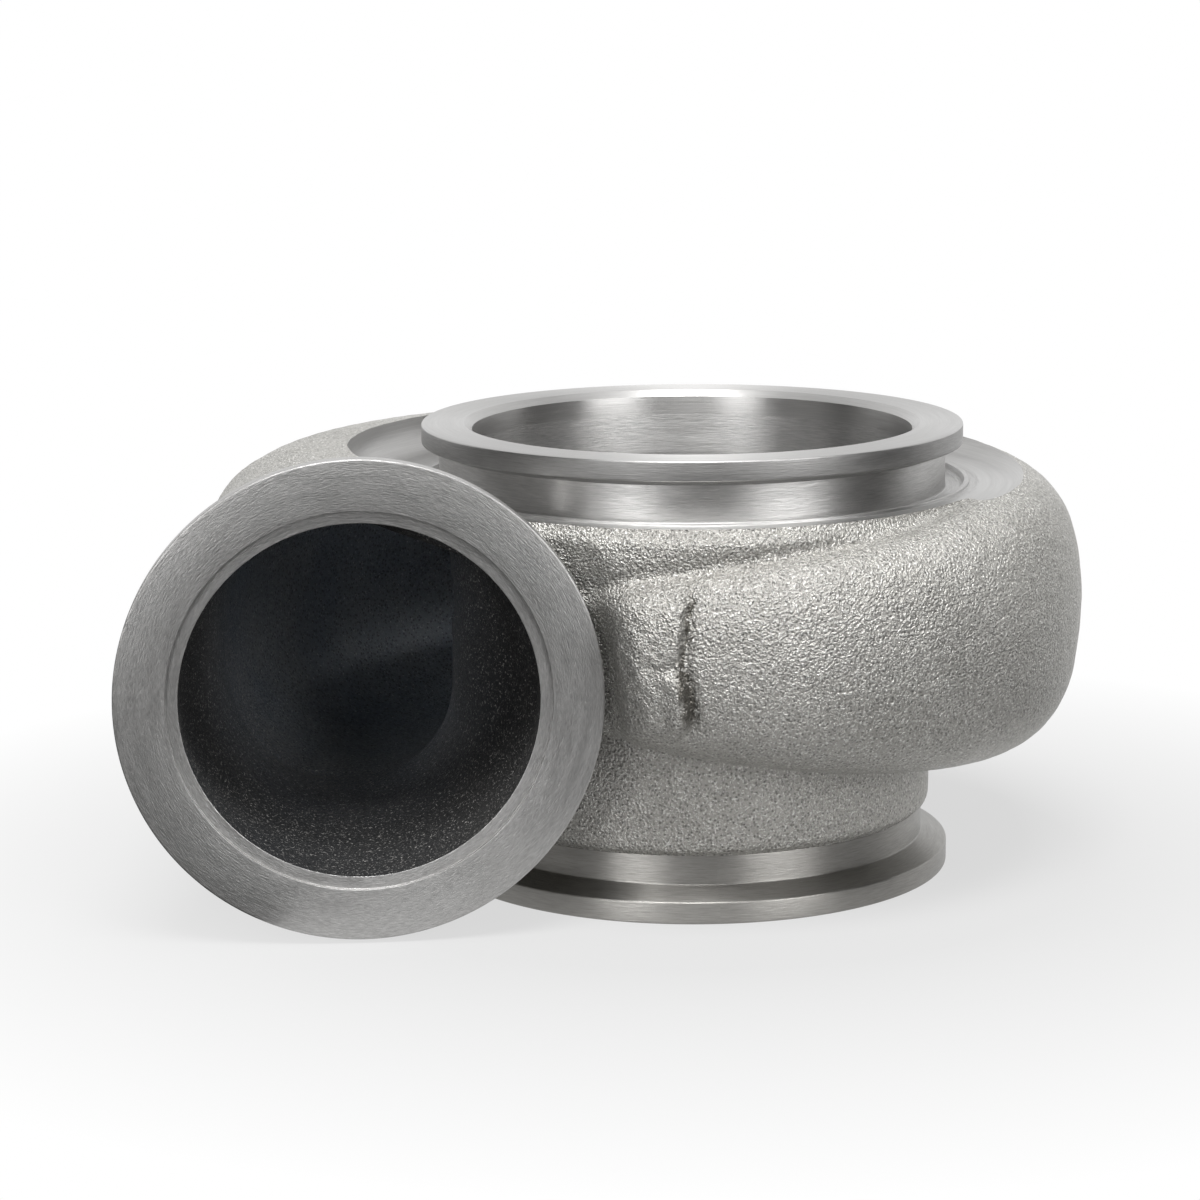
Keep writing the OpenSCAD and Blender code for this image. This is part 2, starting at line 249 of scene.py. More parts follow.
# Scar of a mended mould joint on the scroll start, beside the inlet flange. It is a low plate of
# cast iron with a lumpy face that ends in an upright fold, left as it came out of the sand.
scar_turn = 97.5
scar_mm_per_degree = 1.04
scar_low_z = 33.5
scar_high_z = 60.5
scar_plate_w = 12
scar_plate_h = 1.1
scar_ledge_z = 46
scar_ledge_d = 0.6
scar_lump_length = 10.5
scar_lump_h = 0.5
scar_rough_h = 0.25
scar_fold_d = 1.1
scar_fold_w = 0.8


def scar_height(X, Y, Z):
    bow = 0.5 * np.sin(Z * 0.23 + 0.6) + 0.16 * np.sin(Z * 1.9 + 1) + 0.12 * np.sin(Z * 3.9)
    bow = bow + 1.2 * np.sin(np.pi * fade(Z, scar_ledge_z, scar_lump_length)) ** 0.6
    s = (np.degrees(np.arctan2(Y, X)) + scar_turn) * scar_mm_per_degree - bow
    tall = grow(Z, scar_low_z, 3) * fade(Z, scar_high_z, 5)
    on_plate = grow(s, -scar_plate_w, 4) * fade(s, 1, 1.5)
    height = scar_plate_h * grow(s, -scar_plate_w, 5) * fade(s, 0.5, 0.8)
    lump = scar_lump_h * fade(Z, scar_ledge_z, 1.2) * np.exp(-((s + 1.6) / 1.6) ** 2)
    rough = scar_rough_h * np.sin(X * 1.7 + 1.1 * np.sin(Z * 0.9)) * np.sin(Z * 1.3) * on_plate
    ledge = scar_ledge_d * np.exp(-((Z - scar_ledge_z - 0.3) / 0.8) ** 2)
    ledge = ledge * on_plate * grow(s, -7, 3)
    fold = scar_fold_d * np.exp(-((s - scar_fold_w) / scar_fold_w) ** 2)
    return np.where(Y < 0, (height + lump + rough - ledge - fold) * tall, 0)


# Gas passage, left open by the sand core: the tube of the inlet run, the shrinking channel of
# the scroll and the ring slot to the wheel. The metal under the bearing recess stays whole.
wall_t = 4.5
gas_pinch = 14
gas_fade = 22
gas_tail = -12
gas_growth = 23.1
gas_square = 2.4
gas_step_turn = 255
gas_step_w = 25
bearing_r = mount_r("bearing_bore")
inlet_bore_r = mount_r("inlet_bore")
nozzle_z = body_h - 30.5
nozzle_w = 9
nozzle_r = bearing_r - 3.8
gas_inner_r = nozzle_r + 1.5
gas_cover = 1
tube_low_z = 15.2
tube_high_z = 70.5
tube_lap = 3
tube_fillet = 0.6
slot_r = nozzle_r + 5.5
slot_in_r = 30
slot_shut = 4
slot_shut_fade = 4
slot_fillet = 2
recess_cove = 5
roof_fillet = 6
core_edge = 1.5
core_in_r = 24.0
divider_y = -1


def gas_form(X, Y, Z, r, p):
    g = np.clip(p, gas_tail, scroll_turn)
    opening = grow(g, gas_tail, scroll_turn - gas_tail)
    gas_r = scroll_r(g) + skin_inset - wall_t - gas_pinch * np.exp(-(g - gas_tail) / gas_fade)
    mid_z = mix(nozzle_z, (scroll_top(g) + scroll_bottom(g)) / 2, np.minimum(1, 3 * opening))
    inner_r = mix(gas_inner_r, neck_r - gas_cover, grow(g, gas_step_turn, gas_step_w) ** 2)
    form = oval_distance(r, Z, (inner_r + gas_r) / 2, mid_z, (gas_r - inner_r) / 2,
                         nozzle_w / 2 + gas_growth * opening ** 0.5, gas_square, gas_square)
    form = np.where(p > scroll_turn, np.maximum(form, -Y), form)
    tail = r * np.sin(np.radians(np.clip(gas_tail - p, 0, 90)))
    form = np.where(p < gas_tail, np.maximum(form, tail), form)
    tube = run_form(X, Y, Z, inlet_bore_r, wall_t - scroll_r(scroll_turn), gas_cover - neck_r,
                    tube_low_z, tube_high_z, gas_square - circle, gas_square - circle)
    form = blend_in(form, np.maximum(tube, Y - tube_lap), tube_fillet)
    beside_run = fade(Y, tube_lap, slot_shut_fade) * (X < 0)
    slot = np.maximum(r - slot_r + slot_shut * beside_run, slot_in_r - r)
    slot = np.maximum(np.abs(Z - nozzle_z) - nozzle_w / 2, slot)
    form = blend_in(form, slot, slot_fillet)
    cove_r, cove_z = recess_r - recess_cove, floor_z + recess_cove
    roof = np.hypot(np.maximum(r - cove_r, 0), np.maximum(cove_z - Z, 0)) - recess_cove - wall_t
    form = cut_out(form, roof, roof_fillet)
    core = r - neck_r
    form = cut_out(form, np.maximum(core, nozzle_z + nozzle_w / 2 - Z), core_edge)
    form = cut_out(form, np.maximum(core, Z - nozzle_z + nozzle_w / 2), core_edge)
    form = cut_out(form, np.maximum(np.maximum(core, Y - divider_y), X), core_edge)
    return np.minimum(form, r - core_in_r)


# Rough casting, one closed skin through all the forms above. It has the faint waves of a sand mould
# all over. Its mesh is laid through a grid of distances.
grid_step = 0.75
grid_low = np.array([-97.0, -64.0, 3.0])
grid_high = np.array([73.0, 82.0, 79.0])
slab = 24
scroll_zero = -100.0
turn_limit = 305
wave_h = 0.05
wave_inset = 0.1


def cast_field(X, Y, Z):
    """Distances of points in mm to the outer skin and to the gas passage."""
    r = np.hypot(X, Y)
    p = (np.degrees(np.arctan2(Y, X)) - scroll_zero) % 360
    p = np.where(p > turn_limit, p - 360, p)
    skin = with_clamp_room(scroll_with_pad(r, p, Y, Z), X, Y, Z)
    skin = blend_in(with_run(skin, X, Y, Z), outlet_neck_form(r, Z), neck_fillet)
    waves = wave_h * np.sin(X * 0.9 + 1.3 * np.sin(Z * 0.7)) * np.sin(Y * 0.8 + np.sin(X * 0.5))
    skin = skin - scar_height(X, Y, Z) + waves + wave_inset
    return skin, gas_form(X, Y, Z, r, p)


def surface_net(field, start, step):
    """Vertices and quads of the surface where a grid of distances passes zero."""
    inside = field < 0
    count = np.zeros(tuple(s - 1 for s in field.shape), np.uint8)
    corners = [(i, j, k) for i in (0, 1) for j in (0, 1) for k in (0, 1)]
    for i, j, k in corners:
        count += inside[i:i + count.shape[0], j:j + count.shape[1], k:k + count.shape[2]]
    mixed = (count > 0) & (count < 8)
    cells = np.argwhere(mixed)
    index = np.full(mixed.shape, -1, np.int64)
    index[mixed] = np.arange(len(cells))
    total = np.zeros((len(cells), 3))
    hits = np.zeros(len(cells))
    for a in corners:
        for axis in range(3):
            if a[axis]:
                continue
            b = list(a)
            b[axis] = 1
            fa = field[tuple((cells + a).T)]
            fb = field[tuple((cells + b).T)]
            cross = (fa < 0) != (fb < 0)
            share = fa[cross] / (fa[cross] - fb[cross])
            point = np.repeat([a], cross.sum(), 0).astype(float)
            point[:, axis] += share
            total[cross] += point
            hits[cross] += 1
    verts = (cells + total / hits[:, None]) * step + start
    faces = []
    for axis in range(3):
        u, v = [(1, 2), (2, 0), (0, 1)][axis]
        low = [slice(1, None)] * 3
        low[axis] = slice(0, -1)
        high = [slice(1, None)] * 3
        high[axis] = slice(1, None)
        a, b = inside[tuple(low)], inside[tuple(high)]
        for sign in (True, False):
            at = np.argwhere((a == sign) & (b == (not sign)))
            at[:, u] += 1
            at[:, v] += 1
            du, dv = np.zeros(3, int), np.zeros(3, int)
            du[u], dv[v] = 1, 1
            quad_cells = [at - du - dv, at - dv, at, at - du]
            if not sign:
                quad_cells = quad_cells[::-1]
            keep = np.all([np.all((c >= 0) & (c < index.shape), 1) for c in quad_cells], 0)
            quad = np.stack([index[tuple(c[keep].T)] for c in quad_cells], 1)
            faces.append(quad[np.all(quad >= 0, 1)])
    return verts, np.concatenate(faces)


def mesh_object(name, verts, faces, smooth=True):
    mesh = bpy.data.meshes.new(name)
    mesh.from_pydata([tuple(v) for v in verts], [], [tuple(f) for f in faces])
    mesh.update()
    if smooth:
        mesh.polygons.foreach_set("use_smooth", [True] * len(mesh.polygons))
    obj = bpy.data.objects.new(name, mesh)
    bpy.context.scene.collection.objects.link(obj)
    return obj


size = np.ceil((grid_high - grid_low) / grid_step).astype(int)
axes = [grid_low[i] + grid_step * np.arange(size[i]) for i in range(3)]
field = np.empty(tuple(size), np.float32)
for i in range(0, size[0], slab):
    X, Y, Z = np.meshgrid(axes[0][i:i + slab], axes[1], axes[2], indexing="ij")
    skin, gas = cast_field(X, Y, Z)
    field[i:i + slab] = np.maximum(skin, -gas)
for axis in range(3):
    border = np.moveaxis(field, axis, 0)
    border[0], border[-1] = 1, 1
verts, faces = surface_net(field, grid_low, grid_step)
blank = mesh_object("cast_blank", verts / 1000, faces)

# Skins of the rough casting. Outside it is shot blasted, mid grey, rough and sparkling, with
# painted shade in the fold of the scar. Inside it is near black by the mouth, where the core sand
# has burned on, with painted shade added there, and painted light makes it much lighter deeper in.
scar_r = 59.6
# Depths in metres along Y over which the inside goes from soot with painted shade to painted light.
painted_light_from_y, painted_light_to_y = -0.030, 0.050


def new_material(name):
    mat = bpy.data.materials.new(name)
    mat.use_nodes = True
    tree = mat.node_tree
    tree.nodes.clear()
    return mat, tree


def add(tree, kind, **settings):
    n = tree.nodes.new(kind)
    for key, value in settings.items():
        setattr(n, key, value)
    return n


def math_node(tree, op, a, b=None, clamp=False):
    n = add(tree, "ShaderNodeMath", operation=op, use_clamp=clamp)
    for i, v in enumerate((a, b)):
        if v is None:
            continue
        if isinstance(v, (int, float)):
            n.inputs[i].default_value = v
        else:
            tree.links.new(v, n.inputs[i])
    return n.outputs[0]


def ramp(tree, source, stops):
    n = add(tree, "ShaderNodeValToRGB")
    elements = n.color_ramp.elements
    while len(elements) < len(stops):
        elements.new(0.5)
    for element, (at, colour) in zip(elements, stops):
        element.position = at
        element.color = (*colour, 1)
    tree.links.new(source, n.inputs[0])
    return n.outputs[0]


def noise(tree, vector, scale, detail, rough):
    n = add(tree, "ShaderNodeTexNoise")
    n.inputs["Scale"].default_value = scale
    n.inputs["Detail"].default_value = detail
    n.inputs["Roughness"].default_value = rough
    tree.links.new(vector, n.inputs["Vector"])
    return n.outputs[0]


def grey(v, tint=(1.0, 1.0, 1.0)):
    return (v * tint[0], v * tint[1], v * tint[2])


def mix_colours(tree, blend_type, share, a, b):
    """Colour a with colour b mixed, added or multiplied in by a share."""
    n = add(tree, "ShaderNodeMix", data_type="RGBA", blend_type=blend_type)
    for socket, value in ((0, share), (6, a), (7, b)):
        if isinstance(value, (float, tuple)):
            n.inputs[socket].default_value = value
        else:
            tree.links.new(value, n.inputs[socket])
    return n.outputs[2]


def outside_colour(t, cloud, fine):
    iron = ramp(t, cloud, [(0.30, grey(0.32, (1.0, 0.977, 0.91))),
                           (0.70, grey(0.39, (1.0, 0.977, 0.92)))])
    sparkle = ramp(t, fine, [(0.54, grey(0.0)), (0.66, grey(0.30))])
    return mix_colours(t, "ADD", 1.0, iron, sparkle)


def inside_colour(t, where, cloud, fine):
    place = add(t, "ShaderNodeSeparateXYZ")
    t.links.new(where, place.inputs[0])
    depth = add(t, "ShaderNodeMapRange", interpolation_type="SMOOTHSTEP")
    depth.inputs["From Min"].default_value = painted_light_from_y
    depth.inputs["From Max"].default_value = painted_light_to_y
    t.links.new(place.outputs[1], depth.inputs["Value"])
    # Near the mouth: soot, made darker by painted shade. Deep inside: painted light, a much lighter
    # colour where the lamps reach less.
    soot_and_painted_shade = ramp(t, cloud, [(0.30, grey(0.012, (0.90, 0.98, 1.10))),
                           (0.66, grey(0.020, (1.0, 0.99, 0.98)))])
    painted_light_deep = ramp(t, cloud, [(0.30, grey(0.32, (0.84, 0.97, 1.16))),
                            (0.66, grey(0.42, (0.93, 0.98, 1.05)))])
    sparkle = ramp(t, fine, [(0.60, grey(0.0)), (0.68, grey(0.30, (1.0, 0.97, 0.92)))])
    return mix_colours(t, "ADD", 1.0, mix_colours(t, "MIX", depth.outputs[0], soot_and_painted_shade, painted_light_deep), sparkle)


def painted_fold_shade(t, where, grain, waves):
    """How much painted shade darkens the fold of the scar, from 0 to 1."""
    at = add(t, "ShaderNodeSeparateXYZ")
    t.links.new(where, at.inputs[0])
    around = math_node(t, "MULTIPLY", math_node(t, "ARCTAN2", at.outputs[1], at.outputs[0]), scar_r)
    up = math_node(t, "MULTIPLY", at.outputs[2], 1000)
    low = math_node(t, "SUBTRACT", scar_ledge_z, up)
    low = math_node(t, "DIVIDE", low, scar_lump_length, True)
    low = math_node(t, "POWER", math_node(t, "SINE", math_node(t, "MULTIPLY", low, math.pi)), 0.6)
    off = math_node(t, "ADD", around, scar_r * math.radians(scar_turn) - scar_fold_w)
    bend = math_node(t, "SINE", math_node(t, "ADD", math_node(t, "MULTIPLY", up, 0.23), 0.6))
    off = math_node(t, "SUBTRACT", off, math_node(t, "MULTIPLY", bend, 0.5))
    off = math_node(t, "SUBTRACT", off, math_node(t, "MULTIPLY", low, 0.6))
    for rough, reach in ((grain, 3.4), (waves, 2.5)):
        rough = math_node(t, "MULTIPLY", math_node(t, "SUBTRACT", rough, 0.5), reach)
        off = math_node(t, "ADD", off, rough)
    wide = math_node(t, "ADD", math_node(t, "MULTIPLY", low, 1.2), 0.55)
    off = math_node(t, "DIVIDE", math_node(t, "ABSOLUTE", off), wide)
    shade = math_node(t, "SUBTRACT", 1.0, off, True)
    tall = ramp(t, math_node(t, "MULTIPLY", at.outputs[2], 10),
                [(0.355, grey(0.0)), (0.385, grey(1.0)), (0.57, grey(1.0)), (0.60, grey(0.0))])
    return math_node(t, "MULTIPLY", math_node(t, "MULTIPLY", shade, 1.5, True), tall)


def cast_material(name, inside):
    mat, t = new_material(name)
    out = add(t, "ShaderNodeOutputMaterial")
    bsdf = add(t, "ShaderNodeBsdfPrincipled")
    t.links.new(bsdf.outputs[0], out.inputs[0])
    where = add(t, "ShaderNodeTexCoord").outputs["Object"]
    fine = noise(t, where, scale=2500, detail=2, rough=0.6)
    grain = noise(t, where, scale=1250, detail=2, rough=0.55)
    waves = noise(t, where, scale=260, detail=2, rough=0.5)
    cloud = noise(t, where, scale=38, detail=4, rough=0.6)
    pits = add(t, "ShaderNodeTexVoronoi")
    pits.inputs["Scale"].default_value = 1500
    t.links.new(where, pits.inputs["Vector"])
    pits = pits.outputs["Distance"]
    if inside:
        colour = inside_colour(t, where, cloud, fine)
        rough_from, rough_to = 0.55, 0.80
    else:
        colour = outside_colour(t, cloud, fine)
        rough_from, rough_to = 0.33, 0.45
    colour = mix_colours(t, "MULTIPLY", 1.0, colour,
                         ramp(t, pits, [(0.08, grey(0.42)), (0.45, grey(1.0))]))
    # Painted shade on the flank of the scar's fold, multiplied into the colour.
    colour = mix_colours(t, "MULTIPLY", painted_fold_shade(t, where, grain, waves), colour,
                         (0.36, 0.35, 0.33, 1))
    t.links.new(colour, bsdf.inputs["Base Color"])
    bsdf.inputs["Metallic"].default_value = 0.2 if inside else 0.8
    rough = ramp(t, grain, [(0.35, grey(rough_from)), (0.65, grey(rough_to))])
    t.links.new(rough, bsdf.inputs["Roughness"])
    height = fine
    for layer, share in ((pits, 0.30), (grain, 0.45), (waves, 0.6)):
        height = math_node(t, "ADD", height, math_node(t, "MULTIPLY", layer, share))
    bump = add(t, "ShaderNodeBump")
    bump.inputs["Strength"].default_value = 1.0
    bump.inputs["Distance"].default_value = 0.00042
    t.links.new(height, bump.inputs["Height"])
    t.links.new(bump.outputs[0], bsdf.inputs["Normal"])
    return mat


cast_skin = cast_material("cast iron skin", False)
soot_and_painted_light_skin = cast_material("cast iron inside", True)

# Seats turned into the casting on the lathe: the bearing recess with its cove, the bearing bore
# down to the heat shield shoulder, the wheel shroud and throat, and the seats of the rings. They
# are bare bright iron with fine tool marks around the axis of the cut.
throat_r = mount_r("wheel_throat")
throat_z = 31
throat_top = 36
inducer_r = 33
nozzle_floor = end_of("wheel_shroud", 1, 2)
nozzle_roof = end_of("shield_shoulder", 0, 2)
shoulder_z = end_of("shield_shoulder", 1, 2)
neck_seat_z = end_of("bearing_neck", 0, 2)
floor_inner_r = end_of("bearing_neck", 1, 0)
cone_foot_r = 33.04
outlet_room_r = 46
outlet_room_z = 10.56
tool_over = 8
tool_under = 6
mouth_r = inlet_bore_r + 2.85
mouth_depth = 1
roof_draw = 0.4
seat_steps = 360


def turned_material(name, level, mark_strength, rough_level, spread, around,
                    tint=(1.0, 0.99, 0.975), centre=(0, 0, 0), axis="Z"):
    """The higher around is, the shorter the tool marks are along the cut."""
    mat, t = new_material(name)
    out = add(t, "ShaderNodeOutputMaterial")
    bsdf = add(t, "ShaderNodeBsdfPrincipled")
    t.links.new(bsdf.outputs[0], out.inputs[0])
    where = add(t, "ShaderNodeTexCoord").outputs["Object"]
    moved = add(t, "ShaderNodeVectorMath", operation="SUBTRACT")
    t.links.new(where, moved.inputs[0])
    moved.inputs[1].default_value = centre
    split = add(t, "ShaderNodeSeparateXYZ")
    t.links.new(moved.outputs[0], split.inputs[0])
    u, v, w = [split.outputs[i] for i in ((0, 1, 2) if axis == "Z" else (0, 2, 1))]
    radius = math_node(t, "SQRT", math_node(t, "ADD", math_node(t, "MULTIPLY", u, u),
                                            math_node(t, "MULTIPLY", v, v)))
    angle = math_node(t, "ARCTAN2", u, v)
    lathe = add(t, "ShaderNodeCombineXYZ")
    t.links.new(math_node(t, "MULTIPLY", radius, 1000), lathe.inputs[0])
    t.links.new(math_node(t, "MULTIPLY", angle, around), lathe.inputs[1])
    t.links.new(math_node(t, "MULTIPLY", w, 1000), lathe.inputs[2])
    marks = noise(t, lathe.outputs[0], scale=4.5, detail=3, rough=0.65)
    broad = noise(t, lathe.outputs[0], scale=0.8, detail=2, rough=0.5)
    smear = noise(t, where, scale=60, detail=3, rough=0.5)
    colour = ramp(t, marks, [(0.32, grey(level * (1 - 0.16 * mark_strength), tint)),
                             (0.68, grey(level * (1 + 0.14 * mark_strength), tint))])
    dirt = ramp(t, smear, [(0.45, grey(0.0)), (0.8, grey(0.2))])
    colour = mix_colours(t, "MULTIPLY", dirt, colour, (0.72, 0.71, 0.69, 1))
    t.links.new(colour, bsdf.inputs["Base Color"])
    bsdf.inputs["Metallic"].default_value = 1.0
    rough = ramp(t, broad, [(0.3, grey(rough_level * 0.92)), (0.7, grey(rough_level * 1.1))])
    t.links.new(rough, bsdf.inputs["Roughness"])
    bsdf.inputs["Anisotropic"].default_value = spread
    bsdf.inputs["Anisotropic Rotation"].default_value = 0.25
    tangent = add(t, "ShaderNodeVectorMath", operation="CROSS_PRODUCT")
    tangent.inputs[0].default_value = (0, 0, 1) if axis == "Z" else (0, 1, 0)
    t.links.new(moved.outputs[0], tangent.inputs[1])
    unit = add(t, "ShaderNodeVectorMath", operation="NORMALIZE")
    t.links.new(tangent.outputs[0], unit.inputs[0])
    t.links.new(unit.outputs[0], bsdf.inputs["Tangent"])
    bump = add(t, "ShaderNodeBump")
    bump.inputs["Strength"].default_value = min(mark_strength, 1)
    bump.inputs["Distance"].default_value = 0.00006 * max(mark_strength, 1)
    t.links.new(marks, bump.inputs["Height"])
    t.links.new(bump.outputs[0], bsdf.inputs["Normal"])
    return mat


def revolve(name, profile, steps, centre=(0, 0, 0), axis="Z"):
    """Closed ring of quads from (r, h) points in mm around Z, or around -Y for the inlet.
    A profile that starts and ends on the axis gives a closed round solid."""
    verts, faces = [], []
    poles = profile[0][0] == 0
    rim = profile[1:-1] if poles else profile
    n = len(rim)

    def place(x, y, h):
        if axis == "Y":
            x, y, h = x, h, -y
        return ((x + centre[0]) / 1000, (y + centre[1]) / 1000, (h + centre[2]) / 1000)

    for k in range(steps):
        a = 2 * math.pi * k / steps
        verts += [place(r * math.cos(a), r * math.sin(a), h) for r, h in rim]
    for k in range(steps):
        m = (k + 1) % steps
        for i in range(n - 1 if poles else n):
            j = (i + 1) % n
            faces.append((k * n + i, m * n + i, m * n + j, k * n + j))
    if poles:
        verts += [place(0, 0, profile[0][1]), place(0, 0, profile[-1][1])]
        for k in range(steps):
            m = (k + 1) % steps
            faces.append((len(verts) - 2, m * n, k * n))
            faces.append((len(verts) - 1, k * n + n - 1, m * n + n - 1))
    return mesh_object(name, verts, faces)


turned_steel = turned_material("turned iron", level=0.46, mark_strength=0.45, rough_level=0.34,
                               spread=0.8, around=1.2)
shroud_arc = [math.radians(d) for d in range(85, 0, -6)]
cove_arc = [math.radians(d) for d in range(8, 90, 8)]
seat = [(0.0, -tool_under), (outlet_room_r, -tool_under), (outlet_room_r, outlet_room_z),
        (cone_foot_r, outlet_room_z), (throat_r, throat_z), (throat_r, throat_top)]
seat += [(inducer_r - (inducer_r - throat_r) * math.sin(a),
          throat_top + (nozzle_floor - throat_top) * math.cos(a)) for a in shroud_arc]
seat += [(inducer_r, nozzle_floor), (inducer_r, nozzle_roof - roof_draw), (nozzle_r, nozzle_roof),
         (nozzle_r, shoulder_z), (bearing_r, shoulder_z), (bearing_r, neck_seat_z),
         (floor_inner_r, neck_seat_z), (floor_inner_r, floor_z), (recess_r - recess_cove, floor_z)]
seat += [(recess_r - recess_cove + recess_cove * math.sin(a),
          floor_z + recess_cove - recess_cove * math.cos(a)) for a in cove_arc]
seat += [(recess_r, floor_z + recess_cove), (recess_r, body_h + tool_over),
         (0.0, body_h + tool_over)]
cutter = revolve("seat_cutter", seat, seat_steps)
skins = [cast_skin, turned_steel, soot_and_painted_light_skin]
for part in (blank, cutter):
    for mat in skins:
        part.data.materials.append(mat)
cutter.data.polygons.foreach_set("material_index", [1] * len(cutter.data.polygons))


def face_centres(mesh):
    """Middles of the faces of a mesh, in mm."""
    flat = np.empty(len(mesh.polygons) * 3)
    mesh.polygons.foreach_get("center", flat)
    return flat.reshape(-1, 3) * 1000


c = face_centres(blank.data)
skin, gas = cast_field(c[:, 0], c[:, 1], c[:, 2])
mouth = (c[:, 1] < run_y + mouth_depth) & (np.hypot(c[:, 0] - inlet_x, c[:, 2] - inlet_z) < mouth_r)
# Faces inside the gas passage and at the inlet mouth get the skin of soot with painted shade and
# painted light.
soot_painted_light_index = np.where((-gas > skin) | mouth, 2, 0).astype(np.int32)
blank.data.polygons.foreach_set("material_index", soot_painted_light_index)

cut = blank.modifiers.new("seat", "BOOLEAN")
cut.operation = "DIFFERENCE"
cut.solver = "MANIFOLD"
cut.object = cutter
graph = bpy.context.evaluated_depsgraph_get()
body_mesh = bpy.data.meshes.new_from_object(blank.evaluated_get(graph))

# Cast pieces. The turned casting is handed out as one piece for each CAD node, along the mould
# parting line, the ends of the scroll's three stretches and the inlet run. Every piece keeps the
# shading of the whole casting, so the borders between them don't show.
start_cut = 95
back_cut = 185
run_end_turn = 330
run_right = end_of("runner_lower", 1, 0)
run_end = end_of("runner_lower", 1, 1)
core_r = neck_r + 0.25
outlet_neck_top = end_of("outlet_neck", 1, 2)


def shade_by_angle(mesh, degrees):
    mesh.polygons.foreach_set("use_smooth", [True] * len(mesh.polygons))
    mesh.set_sharp_from_angle(angle=math.radians(degrees))


def read(items, key, kind, width=1):
    """One value, or a row of them, for each item of a mesh."""
    flat = np.empty(len(items) * width, kind)
    items.foreach_get(key, flat)
    return flat.reshape(-1, width) if width > 1 else flat


shade_by_angle(body_mesh, 32)
kinds = read(body_mesh.polygons, "material_index", np.int32)
starts = read(body_mesh.polygons, "loop_start", np.int32)
sizes = read(body_mesh.polygons, "loop_total", np.int32)
corner = read(body_mesh.loops, "vertex_index", np.int32)
points = read(body_mesh.vertices, "co", float, 3)
normals = read(body_mesh.corner_normals, "vector", np.float32, 3)

c = face_centres(body_mesh)
x, y, z = c[:, 0], c[:, 1], c[:, 2]
turn = (np.degrees(np.arctan2(y, x)) - scroll_zero) % 360
upper = z > parting_z
home = np.full(len(c), "scroll_start_lower", dtype=object)
home[upper] = "scroll_start_upper"
stretches = [("scroll_back", (turn > start_cut) & (turn <= back_cut)),
             ("scroll_end", (turn > back_cut) & (turn < run_end_turn) & (y > run_end)),
             ("runner", (x < run_right) & (y < run_end))]
for stretch, within in stretches:
    home[within & ~upper] = stretch + "_lower"
    home[within & upper] = stretch + "_upper"
core = np.hypot(x, y) < core_r
ledge_top = shoulder_z + 0.01
home[core & (z < outlet_neck_top)] = "outlet_neck"
home[core & (z >= outlet_neck_top) & (z < nozzle_z)] = "wheel_shroud"
home[core & (z >= nozzle_z) & (z <= ledge_top)] = "shield_shoulder"
home[core & (z > ledge_top)] = "bearing_wall"
for node in sorted(set(home)):
    ids = np.flatnonzero(home == node)
    loops = np.concatenate([np.arange(starts[f], starts[f] + sizes[f]) for f in ids])
    used, flat = np.unique(corner[loops], return_inverse=True)
    split = np.split(flat, np.cumsum(sizes[ids])[:-1])
    piece = mesh_object("cast_" + node, points[used], [f.tolist() for f in split])
    for mat in skins:
        piece.data.materials.append(mat)
    piece.data.polygons.foreach_set("material_index", kinds[ids].astype(np.int32))
    piece.data.normals_split_custom_set(normals[loops].tolist())
    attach(piece, "root")
    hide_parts(node)
for old in (blank, cutter):
    bpy.data.objects.remove(old, do_unlink=True)

# Bearing flange, the V-band rim that the clamp of the bearing housing pulls on. It is turned from
# the casting in one set-up with the bore. Its rim is duller and darker, and its underside gets the
# same darker iron as painted shade under the rim.
bearing_neck_r = bearing_rim_r - 3
rim_z = body_h - 3.3
rim_taper_z = end_of("bearing_flange", 0, 2)
ring_steps = 384


def rounded(profile, radii):
    """Replaces the sharp corners of a profile by small arcs."""
    out = []
    for i, (p, rad) in enumerate(zip(profile, radii)):
        if rad == 0:
            out.append(p)
            continue
        a = Vector(profile[i - 1]) - Vector(p)
        b = Vector(profile[(i + 1) % len(profile)]) - Vector(p)
        half = a.angle(b) / 2
        back = min(rad / math.tan(half), a.length * 0.45, b.length * 0.45)
        start = Vector(p) + a.normalized() * back
        end = Vector(p) + b.normalized() * back
        for k in range(5):
            t = k / 4
            q = start * (1 - t) ** 2 + Vector(p) * 2 * t * (1 - t) + end * t * t
            out.append((q.x, q.y))
    return out


def ring(name, node, profile, radii, mat, centre=(0, 0, 0), axis="Z", soot_painted_light_r=0):
    """Turned ring for a CAD node. Faces closer to its axis than the radius in the last argument get
    the inside skin, soot darkened by painted shade.
    """
    obj = revolve(name, rounded(profile, radii), ring_steps, centre, axis)
    obj.data.materials.append(mat)
    if soot_painted_light_r:
        obj.data.materials.append(soot_and_painted_light_skin)
        for face in obj.data.polygons:
            off = face.center * 1000 - Vector(centre)
            if math.hypot(off.x, off.z) < soot_painted_light_r:
                face.material_index = 1
    shade_by_angle(obj.data, 24)
    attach(obj, "root")
    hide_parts(node)
    return obj


turned_rim = turned_material("turned rim iron", level=0.30, mark_strength=0.8, rough_level=0.48,
                             spread=0.4, around=3)
bearing_flange = ring("turned_bearing_flange", "bearing_flange",
                      [(bearing_r, rim_taper_z), (bearing_neck_r, rim_taper_z),
                       (bearing_rim_r, rim_z), (bearing_rim_r, body_h),
                       (bearing_r + 1.4, body_h), (bearing_r, body_h - 1.1)],
                      [0, 0, 0.35, 0.35, 0.12, 0.12], turned_steel)
bearing_flange.data.materials.append(turned_rim)
# The rim face gets the darker rim iron, and so does the underside taper, as painted shade under the
# rim.
for face in bearing_flange.data.polygons:
    reach = math.hypot(face.center.x, face.center.y) * 1000
    under = face.center.z * 1000 < rim_z
    if reach > bearing_rim_r - 0.05 or (reach > bearing_neck_r + 0.4 and under):
        face.material_index = 1

